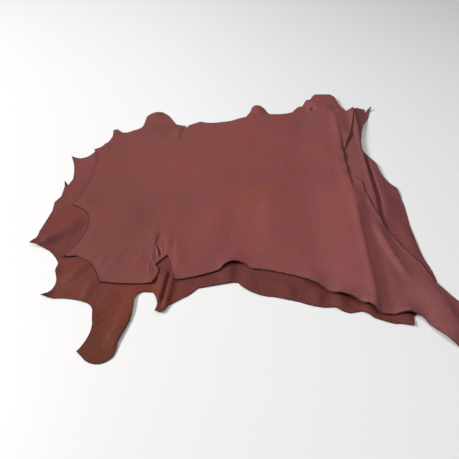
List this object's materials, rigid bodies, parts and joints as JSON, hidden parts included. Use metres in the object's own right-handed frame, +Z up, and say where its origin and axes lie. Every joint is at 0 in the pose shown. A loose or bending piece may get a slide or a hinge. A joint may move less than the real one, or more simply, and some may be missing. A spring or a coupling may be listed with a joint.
{
  "type": "folded sheepskin leather",
  "caption": "Dyed sheepskin garment leather, a whole skin with scalloped cut edges and legs, doubled over on itself and lying flat with soft folds.",
  "frame": {"origin": "bottom centre of the whole skin's box, on the surface that it lies on", "axes": "+X to the right along the skin's length, +Y away from the side with the legs, +Z up out of the table"},
  "size_m": [0.943, 0.8716, 0.027],
  "materials": {
    "leather": "fine-grained, softly glossy"
  },
  "bodies": {
    "root": {"leather": "leather"}
  },
  "joints": []
}
